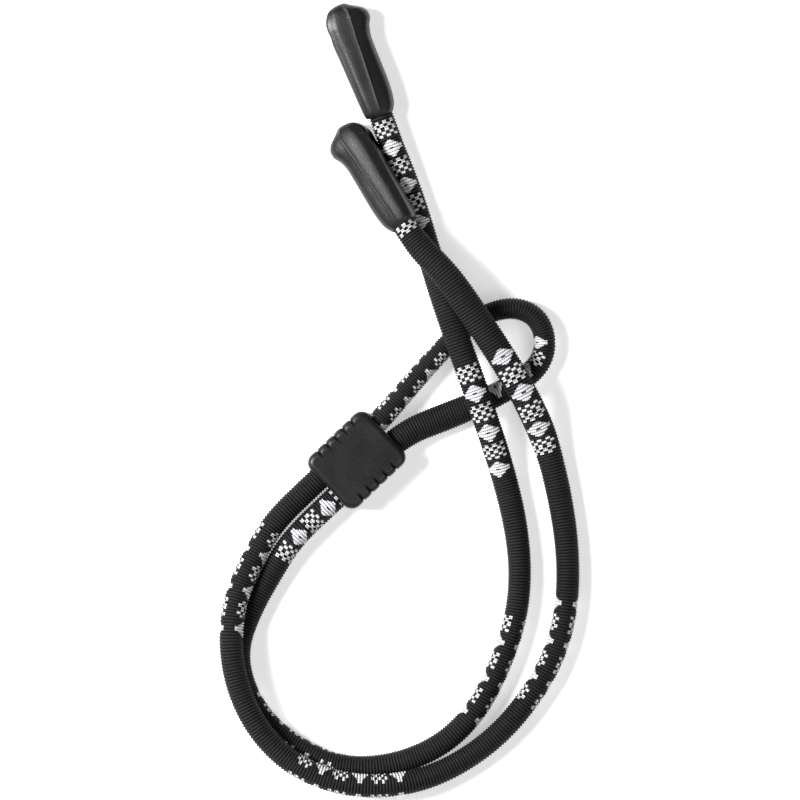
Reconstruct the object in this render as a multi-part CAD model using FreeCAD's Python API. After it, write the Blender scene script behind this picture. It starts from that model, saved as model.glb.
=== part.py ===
"""Eyeglass retainer strap, lying loosely coiled on a table.

One woven elastic cord runs from a moulded grip, through a double-bore slider, round a loop, back
through the slider and on to a second grip. Millimetres, +Z up, z = 0 is the table. The origin is the
middle of the slider's flat underside, and +Y runs towards the grips.
"""
import FreeCAD, Part
import math
import os

V = FreeCAD.Vector
X_AXIS, Y_AXIS, Z_AXIS = V(1, 0, 0), V(0, 1, 0), V(0, 0, 1)

# Cord: a woven sheath over a soft elastic core.
SHEATH_R = 2.5
SHEATH_INNER_R = 1.75
CORE_R = 1.7
ARC_SHARE = 0.45

# Temple grip, one moulding used twice. Local +X points out of its foot, where the cord leaves.
GRIP_LENGTH = 25.2
# Cross-sections: distance from the head's tip, straight side, bulbous side, half thickness.
GRIP_STATIONS = [
    (0.0, -1.3, 1.0, 1.0),
    (0.5, -2.9, 2.0, 1.9),
    (1.6, -4.2, 3.4, 2.75),
    (3.2, -4.95, 4.5, 3.2),
    (5.0, -4.93, 4.6, 3.3),
    (7.6, -4.8, 4.0, 3.3),
    (10.5, -4.65, 4.0, 3.3),
    (17.5, -4.25, 3.95, 3.3),
    (23.4, -3.9, 3.85, 3.25),
    (24.7, -3.6, 3.6, 3.05),
    (25.2, -3.0, 3.0, 2.75),
]
TEMPLE_BORE_R = 1.4
TEMPLE_BORE_LENGTH = 10.0
TEMPLE_BORE_ANGLE = 33.0
TEMPLE_BORE_AT = (5.6, -4.95)

# Cord end inside the grip: necked by the lip, crimped in a ferrule, sealed by melting.
LIP_LENGTH = 2.6
LIP_R = 2.45
CAVITY_LENGTH = 5.4
CAVITY_R = 2.75
CRIMPED_R = 2.1
CRIMPED_INNER_R = 1.35
TAIL_CORE_R = 1.3
FERRULE_R = 2.72
FERRULE_LENGTH = 3.8
FERRULE_FROM_LIP = 0.4
SEAL_LENGTH = 0.5
FIT = 0.03

# Slider: a block with one obround bore that holds two strands side by side.
SLIDER_LENGTH = 16.7
SLIDER_WIDTH = 13.9
SLIDER_THICK = 7.8
SLIDER_CORNER_R = 2.4
SLIDER_EDGE_R = 1.5
SLIDER_HEADING = 43.5
RIB_R = 1.1
RIB_PITCH = 2.33
GROOVES = 5
STRAND_PITCH = 5.3
BORE_HEIGHT = 5.4
BORE_WIDTH = 10.8

# Where the grips lie: the middle of the foot, its heading, its pitch and its roll.
GRIP_A = {"foot": V(5.0, 72.3, 3.4), "heading": -71.4, "pitch": 0.0, "roll": 0.0}
GRIP_B = {"foot": V(9.8, 49.2, 7.4), "heading": -56.5, "pitch": 11.0, "roll": 197.0}

# The cord's route. The grip ends and the bore's middle are added to each span below.
LEAD = 4.6
STRAIGHT = 21.0
BORE_Z = SLIDER_THICK / 2
ROUTE_A = [
    (10.7, 58.6, 2.6),
    (13.6, 50.3, 2.6),
    (15.5, 42.8, 2.6),
    (19.6, 29.6, 7.9),
    (26.9, 9.0, 7.9),
    (30.4, -2.4, 2.6),
    (33.2, -13.2, 2.6),
    (34.5, -23.6, 2.6),
    (33.6, -33.4, 2.6),
    (30.2, -43.6, 2.6),
    (24.8, -53.4, 2.6),
    (17.1, -60.1, 2.6),
    (7.4, -64.1, 2.6),
    (-3.0, -64.8, 2.6),
    (-11.8, -61.4, 2.6),
    (-19.4, -55.4, 2.6),
    (-23.8, -47.6, 2.6),
    (-25.4, -39.4, 2.6),
    (-22.7, -31.6, 2.6),
    (-17.8, -23.2, 2.8),
]
ROUTE_B = [
    (18.4, 39.5, 9.8),
    (22.3, 33.7, 10.2),
    (31.2, 20.6, 8.4),
    (35.5, 13.2, 8.0),
    (39.6, 4.2, 3.2),
    (42.4, -6.6, 2.6),
    (44.1, -18.0, 2.6),
    (44.2, -29.4, 2.6),
    (41.8, -40.2, 2.6),
    (36.4, -49.8, 2.6),
    (28.6, -58.7, 2.6),
    (18.6, -65.3, 3.1),
    (8.4, -68.4, 5.7),
    (-2.6, -68.0, 6.8),
    (-12.4, -64.2, 7.0),
    (-20.0, -57.4, 7.5),
    (-24.9, -48.2, 7.7),
    (-26.7, -38.0, 7.6),
    (-25.4, -28.4, 6.2),
    (-21.3, -19.6, 4.4),
]
ROUTE_LOOP = [
    (14.2, 19.4, 2.7),
    (22.0, 27.4, 2.6),
    (27.6, 31.0, 2.6),
    (33.2, 32.1, 2.6),
    (37.5, 30.1, 2.6),
    (39.5, 25.9, 2.6),
    (39.0, 21.3, 2.6),
    (35.9, 17.4, 2.6),
    (29.4, 13.4, 2.6),
    (19.8, 9.3, 2.6),
]
LOOP_OUT = 9.4
LOOP_BACK = 11.0


def direction(heading, pitch=0.0):
    """Unit vector at a heading in the XY plane, raised by pitch, both in degrees."""
    h = math.radians(heading)
    p = math.radians(pitch)
    return V(math.cos(h) * math.cos(p), math.sin(h) * math.cos(p), math.sin(p))


def placed(shape, at, heading, pitch=0.0, roll=0.0):
    """A copy of a shape whose local +X is turned to heading, pitch and roll, and moved to at."""
    turn = FreeCAD.Rotation(Z_AXIS, heading)
    turn = turn.multiply(FreeCAD.Rotation(Y_AXIS, -pitch))
    turn = turn.multiply(FreeCAD.Rotation(X_AXIS, roll))
    out = shape.copy()
    out.Placement = FreeCAD.Placement(at, turn)
    return out


def rod(radius, start, length):
    """A cylinder along local X from x = start towards +X."""
    return Part.makeCylinder(radius, length, V(start, 0, 0), X_AXIS)


def sleeve(outer, inner, start, length):
    """A hollow cylinder along local X."""
    return rod(outer, start, length).cut(rod(inner, start, length))


# --- temple grip ---------------------------------------------------------------------------------


def grip_section(station):
    """One closed cross-section: a low ridge off the middle, a broad facet on each side of it."""
    x, low, high, half = station
    width = high - low
    upper = [
        (high, 0.0),
        (high - 0.07 * width, 0.56 * half),
        (high - 0.24 * width, 0.84 * half),
        (0.25, half),
        (low + 0.26 * width, 0.9 * half),
        (low + 0.07 * width, 0.56 * half),
        (low, 0.0),
    ]
    lower = [(y, -z) for y, z in reversed(upper[1:-1])]
    curve = Part.BSplineCurve()
    curve.interpolate(Points=[V(x - GRIP_LENGTH, y, z) for y, z in upper + lower], PeriodicFlag=True)
    return Part.Wire([curve.toShape()])


def grip():
    """The moulding, with the temple socket in its side and the stepped cord socket in its foot."""
    body = Part.makeLoft([grip_section(s) for s in GRIP_STATIONS], True, False)
    a = math.radians(TEMPLE_BORE_ANGLE)
    inward = V(math.cos(a), math.sin(a), 0)
    at = V(TEMPLE_BORE_AT[0] - GRIP_LENGTH, TEMPLE_BORE_AT[1], 0)
    temple_bore = Part.makeCylinder(TEMPLE_BORE_R, TEMPLE_BORE_LENGTH + 4, at - inward * 4, inward)
    lip = rod(LIP_R, -LIP_LENGTH, LIP_LENGTH + 1)
    cavity = rod(CAVITY_R, -LIP_LENGTH - CAVITY_LENGTH, CAVITY_LENGTH)
    return body.cut(temple_bore).cut(lip.fuse(cavity))


# --- slider --------------------------------------------------------------------------------------


def slider_groove(x):
    """The cusp left between two half-round grip ribs on the slider's +Y side."""
    y = SLIDER_WIDTH / 2 - RIB_R
    gap = Part.makeBox(RIB_PITCH, RIB_R + 1, SLIDER_THICK, V(x - RIB_PITCH / 2, y, -BORE_Z))
    for side in (-1, 1):
        rib_axis = V(x + side * RIB_PITCH / 2, y, -BORE_Z)
        gap = gap.cut(Part.makeCylinder(RIB_R, SLIDER_THICK, rib_axis))
    return gap


def slider():
    """A rounded block, grooved down both long sides, with one obround bore for two strands."""
    corner = V(-SLIDER_LENGTH / 2, -SLIDER_WIDTH / 2, -BORE_Z)
    block = Part.makeBox(SLIDER_LENGTH, SLIDER_WIDTH, SLIDER_THICK, corner)
    upright = [e for e in block.Edges if abs(e.tangentAt(e.FirstParameter).z) > 0.9]
    block = block.makeFillet(SLIDER_CORNER_R, upright)
    rims = [e for e in block.Edges if abs(abs(e.CenterOfMass.z) - BORE_Z) < 0.01]
    block = block.makeFillet(SLIDER_EDGE_R, rims)
    for i in range(GROOVES):
        groove = slider_groove((i - (GROOVES - 1) / 2) * RIB_PITCH)
        block = block.cut(groove).cut(groove.mirror(V(0, 0, 0), Y_AXIS))
    half = (BORE_WIDTH - BORE_HEIGHT) / 2
    length = SLIDER_LENGTH + 2
    bore = Part.makeBox(length, 2 * half, BORE_HEIGHT, V(-length / 2, -half, -BORE_HEIGHT / 2))
    for side in (-1, 1):
        bore = bore.fuse(Part.makeCylinder(BORE_HEIGHT / 2, length, V(-length / 2, side * half, 0), X_AXIS))
    return placed(block.cut(bore.removeSplitter()), V(0, 0, BORE_Z), SLIDER_HEADING)


# --- cord ----------------------------------------------------------------------------------------


def rounded_route(points):
    """Straight runs joined by tangent arcs, each as large as its two runs allow. Also the radii."""
    edges, radii = [], []
    start = points[0]
    for before, here, after in zip(points, points[1:], points[2:]):
        u = (here - before).normalize()
        v = (after - here).normalize()
        turn = u.getAngle(v)
        reach = ARC_SHARE * min((here - before).Length, (after - here).Length)
        radius = reach / math.tan(turn / 2)
        middle = here + (v - u).normalize() * (radius / math.cos(turn / 2) - radius)
        edges.append(Part.LineSegment(start, here - u * reach).toShape())
        edges.append(Part.Arc(here - u * reach, middle, here + v * reach).toShape())
        start = here + v * reach
        radii.append(radius)
    edges.append(Part.LineSegment(start, points[-1]).toShape())
    return Part.Wire(edges), radii


def swept(wire, points, radius):
    """A round solid of the given radius along a route's wire."""
    ring = Part.Wire([Part.Circle(points[0], points[1] - points[0], radius).toShape()])
    return wire.makePipeShell([ring], True, True)


def cord_span(name, points):
    """The sheath and the core of one span of cord, checked against section times length."""
    wire, radii = rounded_route(points)
    core = swept(wire, points, CORE_R)
    bulk = swept(wire, points, SHEATH_R)
    sheath = bulk.cut(swept(wire, points, SHEATH_INNER_R))
    expected = math.pi * SHEATH_R**2 * wire.Length
    print(name, "length", round(wire.Length, 1), "volume ratio", round(bulk.Volume / expected, 4))
    print(name, "radii", [round(r, 1) for r in radii])
    return sheath, core


def bore_point(side, along):
    """A point on one strand's line through the slider: side -1 is strand B's, +1 strand A's."""
    axis = direction(SLIDER_HEADING)
    across = direction(SLIDER_HEADING - 90)
    return V(0, 0, BORE_Z) + across * (side * STRAND_PITCH / 2) + axis * along


def strand_points(pose, route, side):
    """A strand's route from a grip's foot to the middle of the slider's bore."""
    lead = pose["foot"] + direction(pose["heading"], pose["pitch"]) * LEAD
    return [pose["foot"], lead] + [V(*p) for p in route] + [bore_point(side, -STRAIGHT), bore_point(side, 0)]


def loop_points():
    """The loop's route, from the middle of the bore round and back to it."""
    ends = [bore_point(-1, 0), bore_point(-1, LOOP_OUT), bore_point(1, LOOP_BACK), bore_point(1, 0)]
    return ends[:2] + [V(*p) for p in ROUTE_LOOP] + ends[2:]


def cord_end(pose):
    """What the grip holds: the necked sheath and core, the crimped ferrule and the melted seal."""
    lip_start = -LIP_LENGTH
    crimp_start = -LIP_LENGTH - CAVITY_LENGTH + SEAL_LENGTH
    sheath = sleeve(LIP_R - FIT, CRIMPED_INNER_R, lip_start, LIP_LENGTH)
    sheath = sheath.fuse(sleeve(CRIMPED_R, CRIMPED_INNER_R, crimp_start, lip_start - crimp_start))
    core = rod(TAIL_CORE_R, crimp_start, -crimp_start)
    ferrule_start = lip_start - FERRULE_FROM_LIP - FERRULE_LENGTH
    ferrule = sleeve(FERRULE_R, CRIMPED_R + FIT, ferrule_start, FERRULE_LENGTH)
    seal = rod(CRIMPED_R, crimp_start - SEAL_LENGTH, SEAL_LENGTH)
    pieces = {"sheath": sheath, "core": core, "ferrule": ferrule, "seal": seal}
    where = (pose["foot"], pose["heading"], pose["pitch"], pose["roll"])
    return {name: placed(piece, *where) for name, piece in pieces.items()}


# --- the whole strap -----------------------------------------------------------------------------


def strand(letter, pose, route, side):
    """One grip, the cord span from it to the slider, and what fixes the cord in the grip."""
    sheath, core = cord_span("strand_" + letter, strand_points(pose, route, side))
    end = cord_end(pose)
    return {
        "temple_grip_" + letter: placed(grip(), pose["foot"], pose["heading"], pose["pitch"], pose["roll"]),
        "cord_sheath_" + letter: sheath.fuse(end["sheath"]),
        "cord_core_" + letter: core.fuse(end["core"]),
        "end_ferrule_" + letter: end["ferrule"],
        "end_seal_" + letter: end["seal"],
    }


def strap():
    """Every separate piece of the strap by its name."""
    pieces = {"cord_slider": slider()}
    pieces.update(strand("a", GRIP_A, ROUTE_A, 1))
    pieces.update(strand("b", GRIP_B, ROUTE_B, -1))
    pieces["cord_sheath_loop"], pieces["cord_core_loop"] = cord_span("loop", loop_points())
    return pieces


os.makedirs("parts", exist_ok=True)
for node, shape in strap().items():
    shape.exportStep("parts/" + node + ".step")
    print(node, shape.isValid(), len(shape.Solids), round(shape.Volume, 1))
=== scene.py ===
import math

import bmesh
import bpy
import numpy as np
from mathutils import Matrix, Vector


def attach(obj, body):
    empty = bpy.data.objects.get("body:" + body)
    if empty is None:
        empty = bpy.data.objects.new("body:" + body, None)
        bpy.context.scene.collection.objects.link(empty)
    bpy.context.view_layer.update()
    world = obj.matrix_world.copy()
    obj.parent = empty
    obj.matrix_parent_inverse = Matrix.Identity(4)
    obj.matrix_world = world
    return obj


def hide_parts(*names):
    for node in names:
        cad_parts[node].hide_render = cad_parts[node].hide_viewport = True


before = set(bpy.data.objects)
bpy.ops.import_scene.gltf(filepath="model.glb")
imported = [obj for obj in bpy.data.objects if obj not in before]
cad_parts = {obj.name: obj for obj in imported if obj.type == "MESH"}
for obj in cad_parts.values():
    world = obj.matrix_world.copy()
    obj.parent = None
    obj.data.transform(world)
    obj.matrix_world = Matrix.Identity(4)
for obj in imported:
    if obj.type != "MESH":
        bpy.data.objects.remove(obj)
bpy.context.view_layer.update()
MM = 0.001


# === Camera =========================================================================
# A long lens straight above the table, as for a catalogue picture of a small thing.

CAMERA_HEIGHT = 3.0
VIEW_WIDTH = 0.168
SENSOR_WIDTH = 36

camera_data = bpy.data.cameras.new("camera")
camera = bpy.data.objects.new("camera", camera_data)
bpy.context.scene.collection.objects.link(camera)
bpy.context.scene.camera = camera
camera.location = (9.05 * MM, 12.58 * MM, CAMERA_HEIGHT)
camera_data.sensor_width = SENSOR_WIDTH
camera_data.lens = SENSOR_WIDTH * CAMERA_HEIGHT / VIEW_WIDTH
camera_data.clip_start = 0.1


# === Cord: the line it lies along =====================================================
# One woven elastic cord: out of the first grip, round to the slider, through it, round
# the small loop, back through the slider and round to the second grip. It lies loose on
# the table and passes over itself where the strands cross.


def heading(degrees, pitch=0.0):
    """A unit vector at a heading on the table, raised by pitch."""
    h, p = math.radians(degrees), math.radians(pitch)
    return Vector((math.cos(h) * math.cos(p), math.sin(h) * math.cos(p), math.sin(p)))


GRIP_A_FOOT = Vector((5.0, 72.3, 3.4)) * MM
GRIP_A_HEADING = heading(-71.4)
GRIP_B_FOOT = Vector((9.8, 49.2, 7.4)) * MM
GRIP_B_HEADING = heading(-56.5, 11.0)
CRIMP_DEPTH = 7.6 * MM
SLIDER_DEGREES = 43.5
SLIDER_HEADING = heading(SLIDER_DEGREES)
SLIDER_ACROSS = heading(SLIDER_DEGREES - 90)
BORE_Z = 3.9 * MM
STRAND_PITCH = 5.3 * MM


def in_bore(side, along, z=BORE_Z):
    """A point in the slider's bore: side +1 is the first strand's half of it."""
    p = SLIDER_ACROSS * (side * STRAND_PITCH / 2) + SLIDER_HEADING * (along * MM)
    return Vector((p.x, p.y, z))


FIRST_STRAND = [
    (10.3, 58.6, 2.6), (13.1, 50.3, 2.6), (15.3, 42.8, 2.6), (19.5, 29.6, 7.6),
    (26.9, 9.0, 7.6), (30.6, -2.4, 2.6), (33.3, -13.2, 2.6), (34.4, -23.6, 2.6),
    (33.4, -33.4, 2.6), (29.9, -43.6, 2.6), (24.7, -53.4, 2.6), (17.3, -60.3, 2.6),
    (7.4, -64.2, 2.6), (-3.0, -64.7, 2.6), (-11.7, -61.1, 2.6), (-19.3, -55.2, 2.6),
    (-23.9, -47.6, 2.6), (-25.2, -39.6, 2.6), (-22.4, -31.6, 2.6), (-17.6, -23.1, 2.8),
]
LOOP = [
    (19.8, 9.5, 2.6), (29.4, 13.6, 2.6), (36.0, 17.6, 2.6), (39.1, 21.3, 2.6),
    (39.6, 26.0, 2.6), (37.6, 30.2, 2.6), (33.2, 32.1, 2.6), (27.6, 31.0, 2.6),
    (21.8, 27.2, 2.6), (14.2, 19.2, 2.7),
]
SECOND_STRAND = [
    (-21.3, -19.6, 4.4), (-25.4, -28.4, 6.2), (-26.7, -38.0, 7.4), (-25.0, -48.2, 7.5),
    (-20.2, -57.5, 7.3), (-12.6, -64.5, 6.8), (-2.6, -68.2, 6.6), (8.4, -68.4, 5.5),
    (18.6, -65.4, 3.0), (28.6, -58.9, 2.6), (36.5, -49.9, 2.6), (41.9, -40.2, 2.6),
    (44.3, -29.4, 2.6), (44.2, -18.0, 2.6), (42.4, -6.6, 2.6), (39.6, 4.2, 3.2),
    (35.4, 13.2, 8.0), (31.1, 20.6, 8.4), (22.4, 33.7, 10.2), (18.2, 39.5, 9.8),
]
route = [GRIP_A_FOOT - GRIP_A_HEADING * CRIMP_DEPTH, GRIP_A_FOOT + GRIP_A_HEADING * 4.6 * MM]
route += [Vector(p) * MM for p in FIRST_STRAND]
route += [in_bore(1, along) for along in (-21, -9, 0, 11)]
route += [Vector(p) * MM for p in LOOP]
route += [in_bore(-1, along) for along in (9.4, 0, -9, -21)]
route += [Vector(p) * MM for p in SECOND_STRAND]
route += [GRIP_B_FOOT + GRIP_B_HEADING * 4.6 * MM, GRIP_B_FOOT - GRIP_B_HEADING * CRIMP_DEPTH]


def smooth_line(points, name):
    """The points that a smooth NURBS curve through the route passes, closely spaced."""
    curve = bpy.data.curves.new(name, "CURVE")
    curve.dimensions = "3D"
    curve.resolution_u = 40
    spline = curve.splines.new("NURBS")
    spline.points.add(len(points) - 1)
    for cv, p in zip(spline.points, points):
        cv.co = (*p, 1)
    spline.order_u = 3
    spline.use_endpoint_u = True
    holder = bpy.data.objects.new(name, curve)
    bpy.context.scene.collection.objects.link(holder)
    bpy.context.view_layer.update()
    mesh = bpy.data.meshes.new_from_object(holder)
    line = np.array([v.co[:] for v in mesh.vertices])
    bpy.data.objects.remove(holder)
    bpy.data.meshes.remove(mesh)
    return line


def run_of(line):
    """Distance along a line of points, from its start."""
    steps = np.linalg.norm(np.diff(line, axis=0), axis=1)
    return np.concatenate([[0], np.cumsum(steps)])


line = smooth_line(route, "cord_line")
line_run = run_of(line)
CORD_LENGTH = float(line_run[-1])


# === Cord: its woven tube ============================================================
# A round elastic cord in a tight ribbed sleeve of black polyester yarn. It is soft, so
# it lies a little flat where strands press on each other and stands tall in the loop.
# Each cross rib is a real ridge in the mesh; stitches and filaments are in the material.

RINGS_PER_RIB = 4
RIB_RELIEF = 0.13 * MM
AROUND = 44
HALF_AREA = 2.42 * MM
TALLEST = 1.35
EASE_RINGS = 61
HELD_IN_GRIP = 8 * MM
# A rib's profile over its rings, from the groove over the crest, as shares of the relief.
RIB_PROFILE = np.array([-1.0, 0.35, 1.0, 0.35])

# The ribs' pitch, by distance along the cord, both in millimetres: closer where the cord
# is slack in the small loop.
RIB_PITCH = [
    (0, 0.647), (250, 0.647), (264, 0.592), (298, 0.592), (302, 0.575), (350, 0.575),
    (364, 0.652), (616, 0.652),
]

# Half the cord's width as it lies, by distance along it, both in millimetres.
LIE = [
    (0, 2.05), (6.5, 2.10), (8.0, 2.45), (12, 2.5), (30, 2.55), (62, 2.68), (90, 2.58),
    (112, 2.35), (160, 2.38), (235, 2.4), (250, 2.5), (262, 2.7), (275, 2.85),
    (292, 2.4), (305, 2.2), (322, 2.1), (342, 2.2), (356, 2.4), (372, 2.45),
    (480, 2.38), (520, 2.4), (545, 2.6), (556, 2.9), (585, 2.95), (600, 2.75),
    (608, 2.45), (616, 2.1),
]
# Which way the pattern's first row faces, by distance along the cord in millimetres: in
# degrees from straight up, towards the left of the way the cord runs.
TURN = [
    (0, -5), (76, -9), (130, -80), (172, -125), (196, -106), (239, -16), (262, -5), (288, 40), (330, 60),
    (345, 81), (405, 77), (460, 72), (515, 85), (568, -5), (616, -8),
]


def keyed(table, at):
    """A smooth value from a table of distance (mm) and value, at distances in metres."""
    x = np.array([row[0] for row in table]) * MM
    y = np.array([row[1] for row in table], float)
    i = np.clip(np.searchsorted(x, at) - 1, 0, len(x) - 2)
    t = np.clip((at - x[i]) / (x[i + 1] - x[i]), 0, 1)
    return y[i] + (y[i + 1] - y[i]) * t * t * (3 - 2 * t)


def resampled(line, run, at):
    return np.stack([np.interp(at, run, line[:, k]) for k in range(3)], axis=1)


fine = np.linspace(0, CORD_LENGTH, 20001)
rib_count = np.concatenate([[0], np.cumsum(np.diff(fine) / (keyed(RIB_PITCH, fine)[1:] * MM))])
ribs = int(rib_count[-1])
rib_number = np.arange(ribs * RINGS_PER_RIB + 1) / RINGS_PER_RIB
at = np.interp(rib_number, rib_count, fine)
half_width = keyed(LIE, at) * MM
half_height = HALF_AREA * HALF_AREA / half_width
half_height = np.minimum(half_height, half_width * TALLEST)
centre = resampled(line, line_run, at)
in_grip = (at < HELD_IN_GRIP) | (at > CORD_LENGTH - HELD_IN_GRIP)
resting = half_height + RIB_RELIEF + 0.02 * MM
centre[:, 2] = np.where(in_grip, centre[:, 2], np.maximum(centre[:, 2] - 0.1 * MM, resting))
ease = np.hanning(EASE_RINGS)
padded_z = np.pad(centre[:, 2], EASE_RINGS // 2, mode="edge")
centre[:, 2] = np.maximum(np.convolve(padded_z, ease / ease.sum(), "valid"), resting * ~in_grip)

along = np.gradient(centre, axis=0)
along /= np.linalg.norm(along, axis=1)[:, None]
aside = np.cross(np.array([0, 0, 1.0]), along)
aside /= np.linalg.norm(aside, axis=1)[:, None]
upright = np.cross(along, aside)
turn = np.radians(keyed(TURN, at))

rng = np.random.default_rng(7)
rib_shape = RIB_PROFILE[np.arange(len(at)) % RINGS_PER_RIB]
rib_strength = np.repeat(rng.uniform(0.90, 1.10, ribs + 1), RINGS_PER_RIB)[: len(at)]
relief = rib_shape * rib_strength * RIB_RELIEF * ~in_grip

spokes = np.arange(AROUND) * 2 * math.pi / AROUND
co = np.empty((len(at), AROUND, 3))
for k, a in enumerate(spokes):
    unit = aside * math.sin(a) * (half_width + relief)[:, None]
    unit += upright * math.cos(a) * (half_height + relief)[:, None]
    co[:, k] = centre + unit
co = co.reshape(-1, 3)

rings = np.arange(len(at) - 1)[:, None] * AROUND
j = np.arange(AROUND)[None, :]
j_next = (j + 1) % AROUND
quads = np.stack([rings + j, rings + AROUND + j, rings + AROUND + j_next, rings + j_next], axis=2)
quads = quads.reshape(-1, 4)
cord_mesh = bpy.data.meshes.new("woven_cord")
last_ring = (len(at) - 1) * AROUND
caps = [list(range(AROUND)), [last_ring + k for k in range(AROUND - 1, -1, -1)]]
cord_mesh.from_pydata(co.tolist(), [], quads.tolist() + caps)
# The weave's own coordinates: ribs along the cord, and turns round it that follow the
# sleeve's twist.
weave = cord_mesh.uv_layers.new(name="weave")
ring_of = np.repeat(np.arange(len(at) - 1), AROUND)
spoke_of = np.tile(np.arange(AROUND), len(at) - 1)
u = np.stack([ring_of, ring_of + 1, ring_of + 1, ring_of], axis=1)
w = np.stack([spoke_of, spoke_of, spoke_of + 1, spoke_of + 1], axis=1)
uv = np.zeros((len(cord_mesh.loops), 2), np.float32)
uv[: u.size, 0] = rib_number[u].ravel()
uv[: u.size, 1] = ((w * 2 * math.pi / AROUND - turn[u]) / (2 * math.pi)).ravel()
weave.data.foreach_set("uv", uv.ravel())
cord_mesh.polygons.foreach_set("use_smooth", [True] * len(cord_mesh.polygons))
cord_mesh.validate()
cord = bpy.data.objects.new("woven_cord", cord_mesh)
bpy.context.scene.collection.objects.link(cord)
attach(cord, "strap")
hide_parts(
    "cord_sheath_a", "cord_sheath_b", "cord_sheath_loop",
    "cord_core_a", "cord_core_b", "cord_core_loop",
)


# === Cord: the sleeve's material ======================================================
# Black polyester with blocks of white yarn in two rows on opposite sides: bands of six
# figures, checked block and stepped lozenge by turns, a plain stretch between bands.


class Nodes:
    """Short names for building one material's node tree."""

    def __init__(self, name):
        self.material = bpy.data.materials.new(name)
        self.material.use_nodes = True
        self.tree = self.material.node_tree
        self.surface = self.tree.nodes["Principled BSDF"]

    def add(self, kind, **settings):
        node = self.tree.nodes.new(kind)
        for key, value in settings.items():
            setattr(node, key, value)
        return node

    def put(self, socket, value):
        if isinstance(value, bpy.types.NodeSocket):
            self.tree.links.new(value, socket)
        else:
            socket.default_value = value

    def math(self, operation, a, b=0.0, c=0.0, clamp=False):
        node = self.add("ShaderNodeMath", operation=operation, use_clamp=clamp)
        for socket, value in zip(node.inputs, (a, b, c)):
            self.put(socket, value)
        return node.outputs[0]

    def ramp(self, value, low, high, to_low=0.0, to_high=1.0):
        node = self.add("ShaderNodeMapRange", interpolation_type="SMOOTHSTEP")
        for socket, v in zip(node.inputs, (value, low, high, to_low, to_high)):
            self.put(socket, v)
        return node.outputs[0]

    def mix(self, share, a, b):
        node = self.add("ShaderNodeMix", data_type="RGBA")
        self.put(node.inputs[0], share)
        self.put(node.inputs[6], a)
        self.put(node.inputs[7], b)
        return node.outputs[2]

    def noise(self, vector, scale, detail=3.0, roughness=0.55):
        node = self.add("ShaderNodeTexNoise")
        self.put(node.inputs["Vector"], vector)
        self.put(node.inputs["Scale"], scale)
        self.put(node.inputs["Detail"], detail)
        self.put(node.inputs["Roughness"], roughness)
        return node.outputs["Fac"]

    def bump(self, height, distance, strength=1.0, under=None):
        node = self.add("ShaderNodeBump")
        self.put(node.inputs["Height"], height)
        self.put(node.inputs["Distance"], distance)
        self.put(node.inputs["Strength"], strength)
        if under is not None:
            self.put(node.inputs["Normal"], under)
        return node.outputs["Normal"]


# The pattern's grid is wales round the cord and ribs along it. Its two rows of figures
# lie half the wales apart.
WALES = 36.0
ROW_WALES = WALES / 2
BAND_PERIOD = 85.0
BAND_START = 13.0
FIGURE_RIBS = 6.5
FIGURES = 6.0
BAND_LENGTH = FIGURE_RIBS * FIGURES
# Half a figure's size, in half ribs along and wales round, and the side of one check.
HALF_LONG, HALF_WIDE = 5.6, 6.3
CHECK = 2.0


def woven_figures(n, cell_along, cell_round):
    """1 on the white stitches: checked blocks and lozenges by turns, six in each band."""
    m = n.math
    in_period = m("MODULO", m("ADD", cell_along, BAND_PERIOD - BAND_START), BAND_PERIOD)
    in_band = m("LESS_THAN", in_period, BAND_LENGTH)
    figure = m("FLOOR", m("DIVIDE", in_period, FIGURE_RIBS))
    x = m("SUBTRACT", m("SUBTRACT", in_period, m("MULTIPLY", figure, FIGURE_RIBS)), FIGURE_RIBS / 2)
    x = m("MULTIPLY", m("ABSOLUTE", x), 2.0)
    whole_turns = 10 * WALES
    y = m("MODULO", m("ADD", cell_round, ROW_WALES / 2 + whole_turns), ROW_WALES)
    y = m("SUBTRACT", y, ROW_WALES / 2)
    check_round = m("FLOOR", m("DIVIDE", m("ADD", y, 10.0), CHECK))
    check_along = m("FLOOR", m("DIVIDE", m("ADD", x, 0.1), CHECK))
    check = m("MODULO", m("ADD", check_round, check_along), 2.0)
    y = m("ABSOLUTE", y)
    diamond = m("ADD", m("DIVIDE", x, 6.2), m("DIVIDE", y, 6.6))
    lozenge = m("MULTIPLY", m("LESS_THAN", diamond, 1.0), m("GREATER_THAN", diamond, 0.20))
    odd = m("MODULO", figure, 2.0)
    even = m("SUBTRACT", 1.0, odd)
    shape = m("ADD", m("MULTIPLY", lozenge, odd), m("MULTIPLY", check, even))
    inside = m("MULTIPLY", m("LESS_THAN", y, HALF_WIDE), m("LESS_THAN", x, HALF_LONG))
    return m("MULTIPLY", m("MULTIPLY", shape, inside), in_band)


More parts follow.
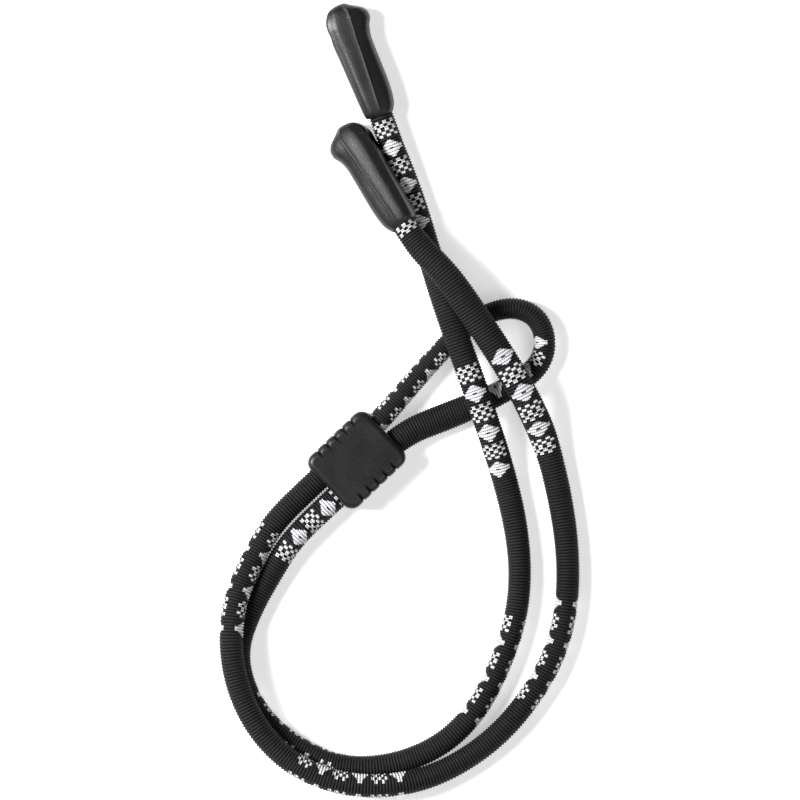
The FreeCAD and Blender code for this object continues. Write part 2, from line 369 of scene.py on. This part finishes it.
def woven_material():
    """Black and white yarn, with ribs, wales, single stitches and filaments."""
    n = Nodes("woven_sleeve")
    m = n.math
    split = n.add("ShaderNodeSeparateXYZ")
    n.put(split.inputs[0], n.add("ShaderNodeUVMap", uv_map="weave").outputs[0])
    rib, turns = split.outputs[0], split.outputs[1]
    wale = m("MULTIPLY", turns, WALES)
    # one stitch is half a rib by one wale
    cell_along = m("MULTIPLY", m("ADD", m("FLOOR", m("MULTIPLY", rib, 2.0)), 0.5), 0.5)
    cell_round = m("ADD", m("FLOOR", wale), 0.5)
    white = woven_figures(n, cell_along, cell_round)

    # a shadow between ribs and a finer one between wales, half a wale over on each next
    # rib; the white yarn shows both as a dark grid
    rib_wave = m("ABSOLUTE", m("SINE", m("MULTIPLY", rib, math.pi)))
    stagger = m("MULTIPLY", m("MODULO", m("FLOOR", m("ADD", rib, 0.5)), 2.0), 0.5)
    wale_wave = m("ABSOLUTE", m("SINE", m("MULTIPLY", m("ADD", wale, stagger), math.pi)))
    rib_gap = n.ramp(rib_wave, 0.0, 0.75, 0.75, 0.0)
    wale_gap = n.ramp(wale_wave, 0.05, 0.8, 0.6, 0.0)
    gap = m("ADD", rib_gap, wale_gap, clamp=True)

    place = n.add("ShaderNodeTexCoord").outputs["Object"]
    patches = n.noise(place, 90.0, 2.0)
    stitch_id = n.add("ShaderNodeCombineXYZ")
    n.put(stitch_id.inputs[0], cell_along)
    n.put(stitch_id.inputs[1], cell_round)
    stitch = n.add("ShaderNodeTexWhiteNoise", noise_dimensions="2D")
    n.put(stitch.inputs["Vector"], stitch_id.outputs[0])
    thread = n.add("ShaderNodeCombineXYZ")
    n.put(thread.inputs[0], m("MULTIPLY", rib, 14.0))
    n.put(thread.inputs[1], m("MULTIPLY", wale, 1.1))
    filaments = n.noise(thread.outputs[0], 1.0, 3.0, 0.65)

    # painted shade on the black yarn: darker in the grooves between ribs and between wales, the crests
    # painted lighter; the stitch and patch factors are the yarn's own uneven tone
    painted_shade_and_tone = m("MULTIPLY", n.ramp(rib_wave, 0.35, 1.0, 0.1, 1.15), n.ramp(wale_wave, 0.0, 0.8, 0.3, 1.2))
    painted_shade_and_tone = m("MULTIPLY", painted_shade_and_tone, n.ramp(stitch.outputs["Value"], 0.0, 1.0, 0.7, 1.25))
    painted_shade_and_tone = m("MULTIPLY", painted_shade_and_tone, n.ramp(patches, 0.3, 0.7, 0.8, 1.2))
    black = n.mix(painted_shade_and_tone, (0.0005, 0.0005, 0.0006, 1), (0.025, 0.025, 0.027, 1))
    pale = n.mix(gap, (0.84, 0.84, 0.86, 1), (0.03, 0.03, 0.04, 1))
    pale = n.mix(n.ramp(filaments, 0.45, 0.75, 0.0, 0.25), pale, (0.55, 0.55, 0.58, 1))
    n.put(n.surface.inputs["Base Color"], n.mix(white, black, pale))
    n.put(n.surface.inputs["Roughness"], n.ramp(filaments, 0.2, 0.8, 0.5, 0.75))
    n.put(n.surface.inputs["Sheen Weight"], 0.015)
    n.put(n.surface.inputs["Sheen Roughness"], 0.4)
    n.put(n.surface.inputs["Specular IOR Level"], 0.09)

    height = m("ADD", m("MULTIPLY", wale_wave, 0.5), m("MULTIPLY", filaments, 0.35))
    height = m("ADD", height, m("MULTIPLY", rib_wave, 0.5))
    height = m("ADD", height, m("MULTIPLY", white, 0.35))
    n.put(n.surface.inputs["Normal"], n.bump(height, 0.06 * MM, 0.9))
    return n.material


cord.data.materials.append(woven_material())


# === Temple grips ====================================================================
# Two identical mouldings of black synthetic rubber, the second turned over: a bulbous
# head with a slot that takes the spectacle temple, and a body with a soft ridge along
# each face, tapering to the mouth that holds the cord.

GRIP_LENGTH = 25.2
# Distance from the head, straight side, bulbous side, half thickness, in millimetres.
GRIP_STATIONS = [
    (0.42, -1.2, 0.2, 1.1), (0.6, -2.05, 0.55, 1.7), (0.9, -2.95, 0.98, 2.15),
    (1.3, -3.6, 1.6, 2.5), (1.9, -4.15, 2.7, 2.8), (2.6, -4.52, 3.75, 3.0),
    (3.5, -4.85, 4.38, 3.15), (4.8, -5.08, 4.5, 3.28), (6.4, -5.05, 3.85, 3.3),
    (8.2, -4.88, 3.47, 3.3), (11.3, -4.58, 3.49, 3.3), (15.0, -4.25, 3.7, 3.3),
    (18.6, -3.93, 3.88, 3.3), (22.0, -3.62, 3.78, 3.28), (23.6, -3.45, 3.5, 3.2),
    (24.5, -3.3, 3.1, 3.08), (24.95, -3.1, 2.85, 2.9), (25.15, -2.9, 2.7, 2.72),
    (25.2, -2.75, 2.6, 2.6),
]
# One half of the body's section, from the straight side over the top to the other side:
# share of the way across, share of the half thickness. A flat runs up to a fine parting
# bead at 0.575 and another falls away behind it.
GRIP_SECTION = [
    (0.0, 0.0), (0.0, 0.2), (0.002, 0.36), (0.010, 0.50), (0.022, 0.60), (0.036, 0.66),
    (0.046, 0.705), (0.058, 0.715), (0.085, 0.745), (0.13, 0.80), (0.155, 0.84),
    (0.18, 0.873), (0.205, 0.90), (0.23, 0.922), (0.26, 0.940), (0.36, 0.958),
    (0.46, 0.975), (0.555, 0.990), (0.562, 0.995), (0.575, 1.012), (0.588, 0.995),
    (0.596, 0.985), (0.66, 0.935), (0.74, 0.868), (0.80, 0.81), (0.84, 0.76),
    (0.88, 0.695), (0.915, 0.61), (0.945, 0.51), (0.97, 0.39), (0.988, 0.26), (1.0, 0.1),
]


# The mouth's profile, from the lip to the socket's wall: radius, distance past the foot.
GRIP_MOUTH = [(2.62, 0.02), (2.5, -0.15), (2.48, -0.6), (2.48, -2.2), (2.5, -2.6)]
SLOT_AT = (5.9 - GRIP_LENGTH, -5.0)
SLOT_ANGLE = math.radians(28)
SLOT_STRETCH = 4.2
SLOT_INWARD = 2.2
SLOT_HALF_WIDE, SLOT_HALF_TALL = 1.15, 2.1


def smooth_stations(stations, count):
    """More stations between the given ones, along a smooth line through them."""
    s = np.array(stations, float)
    chord = np.concatenate([[0], np.cumsum(np.linalg.norm(np.diff(s, axis=0), axis=1))])
    t = np.linspace(0, chord[-1], count)
    slope = np.gradient(s, chord, axis=0)
    i = np.clip(np.searchsorted(chord, t, "right") - 1, 0, len(chord) - 2)
    h = (chord[i + 1] - chord[i])[:, None]
    f = ((t - chord[i]) / h[:, 0])[:, None]
    out = (2 * f**3 - 3 * f**2 + 1) * s[i] + (f**3 - 2 * f**2 + f) * h * slope[i]
    return out + (-2 * f**3 + 3 * f**2) * s[i + 1] + (f**3 - f**2) * h * slope[i + 1]


def grip_mesh(name):
    """The moulding, its foot's middle at the origin and its head towards -X."""
    stations = smooth_stations(GRIP_STATIONS, 120)
    section = np.array(GRIP_SECTION)
    under = section[::-1] * np.array([1, -1])
    outline = np.concatenate([section, under])
    around = len(outline)
    rows = []
    for x, straight, bulb, half in stations:
        share = outline[:, 0]
        bead = min(0.45 - 0.01 * x, straight + 0.62 * (bulb - straight))
        near = straight + (bead - straight) * share / 0.575
        y = np.where(share < 0.575, near, bead + (bulb - bead) * (share - 0.575) / 0.425)
        z = half * outline[:, 1]
        rows.append(np.stack([np.full(around, x - GRIP_LENGTH), y, z], axis=1))
    # the mouth: a rounded lip turned in, then the wall of the socket down to the crimp
    last = rows[-1]
    bearing = np.arctan2(last[:, 2], last[:, 1])
    for radius, x in GRIP_MOUTH:
        across, up = radius * np.cos(bearing), radius * np.sin(bearing)
        rows.append(np.stack([np.full(around, x), across, up], axis=1))
    co = np.concatenate(rows)
    count = len(rows)
    faces = []
    for i in range(count - 1):
        for k in range(around):
            k2 = (k + 1) % around
            faces.append((i * around + k, i * around + k2, (i + 1) * around + k2, (i + 1) * around + k))
    faces.append(tuple(range(around - 1, -1, -1)))
    faces.append(tuple((count - 1) * around + k for k in range(around)))
    mesh = bpy.data.meshes.new(name)
    mesh.from_pydata((co * MM).tolist(), [], faces)
    edit = bmesh.new()
    edit.from_mesh(mesh)
    bmesh.ops.remove_doubles(edit, verts=edit.verts, dist=0.004 * MM)
    bmesh.ops.recalc_face_normals(edit, faces=edit.faces)
    edit.to_mesh(mesh)
    edit.free()
    mesh.polygons.foreach_set("use_smooth", [True] * len(mesh.polygons))
    return mesh


def slot_cutter():
    """The temple's slot: a tall rounded bar that enters the straight side at a slant."""
    edit = bmesh.new()
    bmesh.ops.create_uvsphere(edit, u_segments=24, v_segments=16, radius=1.0)
    for v in edit.verts:
        x, y, z = v.co
        if abs(x) > 1e-6:
            x += math.copysign(SLOT_STRETCH, x)
        v.co = (x, y * SLOT_HALF_WIDE, z * SLOT_HALF_TALL)
    mesh = bpy.data.meshes.new("slot_cutter")
    edit.to_mesh(mesh)
    edit.free()
    mesh.transform(Matrix.Scale(MM, 4))
    inward = Vector((math.cos(SLOT_ANGLE), math.sin(SLOT_ANGLE), 0))
    middle = (Vector((*SLOT_AT, 0)) + inward * SLOT_INWARD) * MM
    mesh.transform(Matrix.Translation(middle) @ Matrix.Rotation(SLOT_ANGLE, 4, "Z"))
    return mesh


def rubber_material(name, worn, grain):
    """Black moulded rubber: a satin skin, fine grain, faint scuffs and a little dust."""
    n = Nodes(name)
    m = n.math
    place = n.add("ShaderNodeTexCoord").outputs["Object"]
    clouds = n.noise(place, 220.0, 3.0)
    skin = n.noise(place, grain, 4.0, 0.7)
    stretched = n.add("ShaderNodeMapping")
    n.put(stretched.inputs["Vector"], place)
    n.put(stretched.inputs["Scale"], (0.35, 1.6, 1.0))
    scuffs = n.noise(stretched.outputs[0], 900.0, 5.0, 0.75)
    scuff = m("MULTIPLY", n.ramp(scuffs, 0.60, 0.70, 0.0, 1.0), n.ramp(clouds, 0.45, 0.62, 0.0, 1.0))
    scuff = m("MULTIPLY", scuff, worn)
    colour = n.mix(n.ramp(skin, 0.3, 0.7), (0.007, 0.007, 0.0075, 1), (0.014, 0.014, 0.015, 1))
    colour = n.mix(scuff, colour, (0.12, 0.12, 0.12, 1))
    n.put(n.surface.inputs["Base Color"], colour)
    rough = m("ADD", n.ramp(clouds, 0.3, 0.7, 0.32, 0.42), m("MULTIPLY", scuff, 0.2))
    n.put(n.surface.inputs["Roughness"], rough)
    n.put(n.surface.inputs["Specular IOR Level"], 0.34)
    fine = n.bump(skin, 0.05 * MM, 0.8)
    n.put(n.surface.inputs["Normal"], n.bump(scuffs, 0.02 * MM, 0.3, fine))
    return n.material


grip_skin = rubber_material("grip_rubber_skin", 0.8, 2600.0)
# Where each grip's foot is, its heading, its pitch and how far it is rolled over.
GRIPS = {
    "a": (GRIP_A_FOOT, -71.4, 0.0, 0.0),
    "b": (GRIP_B_FOOT, -56.5, 11.0, 192.0),
}
for letter, (foot, bearing, pitch, roll) in GRIPS.items():
    grip = bpy.data.objects.new("grip_" + letter, grip_mesh("grip_" + letter))
    bpy.context.scene.collection.objects.link(grip)
    cutter = bpy.data.objects.new("slot_cutter", slot_cutter())
    bpy.context.scene.collection.objects.link(cutter)
    cut = grip.modifiers.new("slot", "BOOLEAN")
    cut.object = cutter
    cut.operation = "DIFFERENCE"
    cut.solver = "EXACT"
    bpy.context.view_layer.update()
    carved = bpy.data.meshes.new_from_object(grip.evaluated_get(bpy.context.evaluated_depsgraph_get()))
    grip.modifiers.clear()
    grip.data = carved
    bpy.data.objects.remove(cutter)
    carved.polygons.foreach_set("use_smooth", [True] * len(carved.polygons))
    turn_over = Matrix.Rotation(math.radians(roll), 4, "X")
    tip_up = Matrix.Rotation(-math.radians(pitch), 4, "Y")
    swing = Matrix.Rotation(math.radians(bearing), 4, "Z")
    carved.transform(Matrix.Translation(foot) @ swing @ tip_up @ turn_over)
    carved.materials.clear()
    carved.materials.append(grip_skin)
    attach(grip, "strap")
    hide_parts("temple_grip_" + letter)


# === What holds the cord in the grips =================================================
# A steel ferrule crimped on the cord inside each grip, and the cord's end melted solid.


def ferrule_material():
    n = Nodes("ferrule_steel")
    place = n.add("ShaderNodeTexCoord").outputs["Object"]
    grain = n.noise(place, 2500.0, 4.0)
    n.put(n.surface.inputs["Base Color"], n.mix(grain, (0.50, 0.50, 0.51, 1), (0.62, 0.62, 0.63, 1)))
    n.put(n.surface.inputs["Metallic"], 1.0)
    n.put(n.surface.inputs["Roughness"], n.ramp(grain, 0.2, 0.8, 0.28, 0.42))
    n.put(n.surface.inputs["Normal"], n.bump(grain, 0.01 * MM, 0.4))
    return n.material


def melted_material():
    n = Nodes("melted_yarn")
    place = n.add("ShaderNodeTexCoord").outputs["Object"]
    beads = n.noise(place, 1400.0, 2.0)
    colour = n.mix(beads, (0.008, 0.008, 0.008, 1), (0.03, 0.028, 0.026, 1))
    n.put(n.surface.inputs["Base Color"], colour)
    n.put(n.surface.inputs["Roughness"], n.ramp(beads, 0.3, 0.7, 0.15, 0.4))
    n.put(n.surface.inputs["Normal"], n.bump(beads, 0.08 * MM, 0.7))
    return n.material


for node_name, material in (("end_ferrule", ferrule_material()), ("end_seal", melted_material())):
    for letter in "ab":
        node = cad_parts[node_name + "_" + letter]
        node.data.materials.clear()
        node.data.materials.append(material)


# === Slider ===========================================================================
# A soft rubber block with one bore for both strands. Each long side has rounded grip
# lobes with narrow notches between them; the top is flat and satin.

SLIDER_LENGTH, SLIDER_WIDTH, SLIDER_THICK = 16.95, 14.7, 7.8
LOBE_PITCH = 2.34
NOTCHES = 5
NOTCH_DEPTH, NOTCH_WIDTH = 1.05, 0.62
CORNER = 2.3
EDGE = 1.25
BORE_WIDTH, BORE_HEIGHT = 10.9, 5.5


EDGE_STEPS = 7
# How much of the notch is cut half way up the side, and how much more at the top edge.
NOTCH_AT_SIDE, NOTCH_AT_EDGE = 0.28, 0.92
# The bore's flare at each mouth: distance in from the end, how much wider.
BORE_FLARE = [(-0.5, 0.55), (0.0, 0.42), (0.25, 0.16), (0.6, 0.0)]


def slider_outline(inset, notch):
    """The block's outline in plan, drawn in by inset, its notches at a share of depth."""
    half_l, half_w = SLIDER_LENGTH / 2, SLIDER_WIDTH / 2
    corner = CORNER
    points = []
    steps = 10
    x_run = np.linspace(-(half_l - corner), half_l - corner, 181)
    first = -LOBE_PITCH * (NOTCHES - 1) / 2

    def side_y(x):
        dent = 0.0
        for k in range(NOTCHES):
            d = abs(x - (first + k * LOBE_PITCH))
            if d < LOBE_PITCH / 2:
                shape = max(0.0, 1 - d / (NOTCH_WIDTH / 2)) ** 0.75
                crown = (d / (LOBE_PITCH / 2)) ** 0.55
                dent = max(dent, notch * (NOTCH_DEPTH * shape + 0.34 * (1 - crown)))
        return half_w - inset - dent

    def arc(cx, cy, start):
        for k in range(1, steps):
            a = math.radians(start + 90 * k / steps)
            points.append((cx + (corner - inset) * math.cos(a), cy + (corner - inset) * math.sin(a)))

    for x in x_run[::-1]:
        points.append((x, side_y(x)))
    arc(-(half_l - corner), half_w - corner, 90)
    for y in np.linspace(half_w - corner, -(half_w - corner), 24):
        points.append((-half_l + inset, y))
    arc(-(half_l - corner), -(half_w - corner), 180)
    for x in x_run:
        points.append((x, -side_y(x)))
    arc(half_l - corner, -(half_w - corner), 270)
    for y in np.linspace(-(half_w - corner), half_w - corner, 24):
        points.append((half_l - inset, y))
    arc(half_l - corner, half_w - corner, 0)
    return points


def slider_mesh():
    levels = []
    for k in range(EDGE_STEPS + 1):
        a = math.pi / 2 * k / EDGE_STEPS
        z = -SLIDER_THICK / 2 + EDGE * (1 - math.sin(a))
        levels.append((z, EDGE * (1 - math.cos(a)), NOTCH_AT_SIDE + NOTCH_AT_EDGE * math.sin(a)))
    levels = levels[::-1]
    for z in np.linspace(-SLIDER_THICK / 2 + EDGE, SLIDER_THICK / 2 - EDGE, 8)[1:-1]:
        levels.append((float(z), 0.0, NOTCH_AT_SIDE))
    levels += [(-z, inset, notch) for z, inset, notch in levels[: EDGE_STEPS + 1][::-1]]
    rows = [slider_outline(inset, notch) for z, inset, notch in levels]
    around = len(rows[0])
    co = [(x, y, z) for (z, _, _), row in zip(levels, rows) for x, y in row]
    faces = []
    for i in range(len(rows) - 1):
        for k in range(around):
            k2 = (k + 1) % around
            faces.append((i * around + k, i * around + k2, (i + 1) * around + k2, (i + 1) * around + k))
    faces.append(tuple(range(around - 1, -1, -1)))
    faces.append(tuple((len(rows) - 1) * around + k for k in range(around)))
    mesh = bpy.data.meshes.new("slider")
    mesh.from_pydata([tuple(c * MM for c in p) for p in co], [], faces)
    return mesh


def bore_cutter():
    """An obround bar with its mouths flared, run through the block end to end."""
    edit = bmesh.new()
    rows = []
    half = SLIDER_LENGTH / 2
    stations = [(-half + inward, grow) for inward, grow in BORE_FLARE]
    stations += [(half - inward, grow) for inward, grow in BORE_FLARE[::-1]]
    for x, grow in stations:
        ring = []
        r = BORE_HEIGHT / 2 + grow
        straight = (BORE_WIDTH - BORE_HEIGHT) / 2
        for side, start in ((1, -90), (-1, 90)):
            for k in range(17):
                a = math.radians(start + 180 * k / 16)
                place = Vector((x, side * straight + r * math.cos(a), r * math.sin(a)))
                ring.append(edit.verts.new(place * MM))
        rows.append(ring)
    for a, b in zip(rows, rows[1:]):
        for k in range(len(a)):
            k2 = (k + 1) % len(a)
            edit.faces.new((a[k], a[k2], b[k2], b[k]))
    edit.faces.new(rows[0][::-1])
    edit.faces.new(rows[-1])
    bmesh.ops.recalc_face_normals(edit, faces=edit.faces)
    mesh = bpy.data.meshes.new("bore_cutter")
    edit.to_mesh(mesh)
    edit.free()
    return mesh


slider = bpy.data.objects.new("slider_block", slider_mesh())
bpy.context.scene.collection.objects.link(slider)
bore = bpy.data.objects.new("bore_cutter", bore_cutter())
bpy.context.scene.collection.objects.link(bore)
cut = slider.modifiers.new("bore", "BOOLEAN")
cut.object = bore
cut.operation = "DIFFERENCE"
cut.solver = "EXACT"
bpy.context.view_layer.update()
carved = bpy.data.meshes.new_from_object(slider.evaluated_get(bpy.context.evaluated_depsgraph_get()))
slider.modifiers.clear()
slider.data = carved
bpy.data.objects.remove(bore)
carved.polygons.foreach_set("use_smooth", [True] * len(carved.polygons))
carved.set_sharp_from_angle(angle=math.radians(38))
for face in carved.polygons:
    face.use_smooth = abs(face.normal.z) < 0.999
carved.transform(Matrix.Translation((0, 0, BORE_Z)) @ Matrix.Rotation(math.radians(SLIDER_DEGREES), 4, "Z"))
carved.materials.clear()
carved.materials.append(rubber_material("slider_rubber_skin", 0.35, 2200.0))
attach(slider, "slider")
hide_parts("cord_slider")


# === Table and light ==================================================================
# A plain white light table that glows a little, one soft light from the upper left and a
# weaker one from the right, in a pale room.

floor_mesh = bpy.data.meshes.new("table")
floor_mesh.from_pydata([(-2, -2, 0), (2, -2, 0), (2, 2, 0), (-2, 2, 0)], [], [(0, 1, 2, 3)])
table = bpy.data.objects.new("table", floor_mesh)
table.location = (0, 0, -0.02 * MM)
bpy.context.scene.collection.objects.link(table)
paper = Nodes("white_table")
paper.put(paper.surface.inputs["Base Color"], (0.93, 0.93, 0.93, 1))
paper.put(paper.surface.inputs["Roughness"], 0.9)
paper.put(paper.surface.inputs["Emission Color"], (1, 1, 1, 1))
paper.put(paper.surface.inputs["Emission Strength"], 0.5)
floor_mesh.materials.append(paper.material)

world = bpy.data.worlds.new("room")
bpy.context.scene.world = world
world.use_nodes = True
room = world.node_tree
towards_window = room.nodes.new("ShaderNodeVectorMath")
towards_window.operation = "DOT_PRODUCT"
towards_window.inputs[1].default_value = Vector((-0.70, 0.30, 0.60)).normalized()
room.links.new(room.nodes.new("ShaderNodeTexCoord").outputs["Generated"], towards_window.inputs[0])
falloff = room.nodes.new("ShaderNodeMapRange")
falloff.interpolation_type = "SMOOTHSTEP"
for socket, value in zip(falloff.inputs[1:5], (0.0, 0.98, 0.22, 1.15)):
    socket.default_value = value
room.links.new(towards_window.outputs["Value"], falloff.inputs[0])
room.links.new(falloff.outputs[0], room.nodes["Background"].inputs["Strength"])
bpy.context.scene.view_settings.view_transform = "Standard"


def soft_light(name, place, aim, size, power):
    data = bpy.data.lights.new(name, "AREA")
    data.shape = "RECTANGLE"
    data.size, data.size_y = size
    data.energy = power
    lamp = bpy.data.objects.new(name, data)
    bpy.context.scene.collection.objects.link(lamp)
    lamp.location = place
    lamp.rotation_euler = (Vector(aim) - Vector(place)).to_track_quat("-Z", "Y").to_euler()


soft_light("key", (-0.62, 0.12, 0.66), (0.01, 0.01, 0), (0.24, 0.36), 16.0)
soft_light("fill", (0.6, -0.45, 1.0), (0.01, 0.01, 0), (0.9, 0.9), 5.0)
